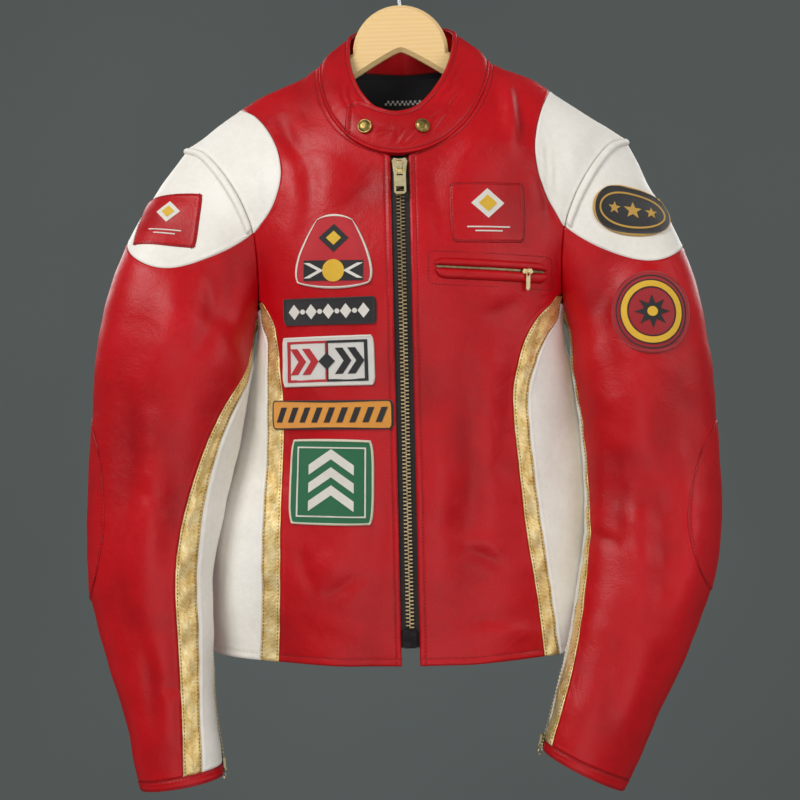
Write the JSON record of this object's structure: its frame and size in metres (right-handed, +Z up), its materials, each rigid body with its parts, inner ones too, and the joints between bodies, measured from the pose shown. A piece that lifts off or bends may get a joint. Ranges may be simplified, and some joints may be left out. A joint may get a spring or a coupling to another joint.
{
  "type": "leather motorcycle jacket on a wooden hanger",
  "caption": "Zipped leather motorcycle jacket with band collar, contrast shoulder caps, side panels and foil stripes, hanging on a wooden hanger.",
  "frame": {"origin": "top of the inside of the hanger hook, where it hangs on a rail", "axes": "+X to the wearer's left, +Y to the wearer's back, +Z up"},
  "size_m": [0.6457, 0.211, 0.8639],
  "materials": {
    "red_leather": "satin",
    "white_leather": "satin",
    "gold_foil": "crinkled metallic foil",
    "black_cloth": "woven",
    "label_cloth": "woven",
    "antique_brass": "worn",
    "pale_wood": "lacquered",
    "wire": "bright",
    "cloth_scarlet": "embroidered twill",
    "cloth_black": "embroidered twill",
    "cloth_white": "embroidered twill",
    "cloth_amber": "embroidered twill",
    "cloth_green": "embroidered twill",
    "cloth_crimson": "embroidered twill"
  },
  "bodies": {
    "jacket": {"front_right": "red_leather", "stripe_right": "gold_foil", "side_right": "white_leather", "shoulder_cap_right": "white_leather", "front_left": "red_leather", "stripe_left": "gold_foil", "side_left": "white_leather", "shoulder_cap_left": "white_leather", "back": "red_leather", "sleeve_cap_right": "white_leather", "sleeve_main_right": "red_leather", "sleeve_stripe_right": "gold_foil", "sleeve_under_right": "white_leather", "cuff_right": "red_leather", "sleeve_cap_left": "white_leather", "sleeve_main_left": "red_leather", "sleeve_stripe_left": "gold_foil", "sleeve_under_left": "white_leather", "cuff_left": "red_leather", "armhole_welt_right": "white_leather", "elbow_right": "red_leather", "armhole_welt_left": "white_leather", "elbow_left": "red_leather", "collar": "red_leather", "snap_tab": "antique_brass", "snap_fixed": "antique_brass", "lining_back": "black_cloth", "label": "label_cloth", "zip_tape": "black_cloth", "zip_chain": "antique_brass", "zip_box": "black_cloth", "zip_slider": "antique_brass", "pocket_welt_upper": "red_leather", "pocket_welt_lower": "red_leather", "pocket_zip": "black_cloth", "pocket_slider": "antique_brass", "cuff_zip_right": "antique_brass", "cuff_slider_right": "antique_brass", "cuff_zip_left": "antique_brass", "cuff_slider_left": "antique_brass", "patch_badge": "cloth_scarlet", "patch_black_bar": "cloth_black", "patch_white_bar": "cloth_white", "patch_yellow_bar": "cloth_amber", "patch_green": "cloth_green", "patch_chest": "cloth_crimson", "patch_arm_square": "cloth_crimson", "patch_arm_oval": "cloth_black", "patch_arm_round": "cloth_crimson", "hanger_board": "pale_wood", "hanger_hook": "wire"},
    "zip_pull": {"zip_pull": "antique_brass"},
    "pocket_pull": {"pocket_pull": "antique_brass"},
    "cuff_ring_right": {"cuff_ring_right": "antique_brass"},
    "cuff_ring_left": {"cuff_ring_left": "antique_brass"}
  },
  "joints": [
    {"name": "zip_pull_swing", "type": "hinge", "parent": "jacket", "child": "zip_pull", "pos_m": [-0.00802, -0.07689, -0.24188], "axis": [-1, 0.004, 0], "range_deg": [0, 150]},
    {"name": "pocket_pull_swing", "type": "hinge", "parent": "jacket", "child": "pocket_pull", "pos_m": [0.11793, -0.07057, -0.34903], "axis": [-0.9217, -0.3879, 0], "range_deg": [0, 120]},
    {"name": "cuff_ring_right_swing", "type": "hinge", "parent": "jacket", "child": "cuff_ring_right", "pos_m": [-0.19751, -0.06456, -0.83995], "axis": [0.4307, -0.9025, 0], "range_deg": [0, 90]},
    {"name": "cuff_ring_left_swing", "type": "hinge", "parent": "jacket", "child": "cuff_ring_left", "pos_m": [0.11828, -0.0839, -0.81845], "axis": [0.4711, 0.8821, 0], "range_deg": [0, 90]}
  ]
}
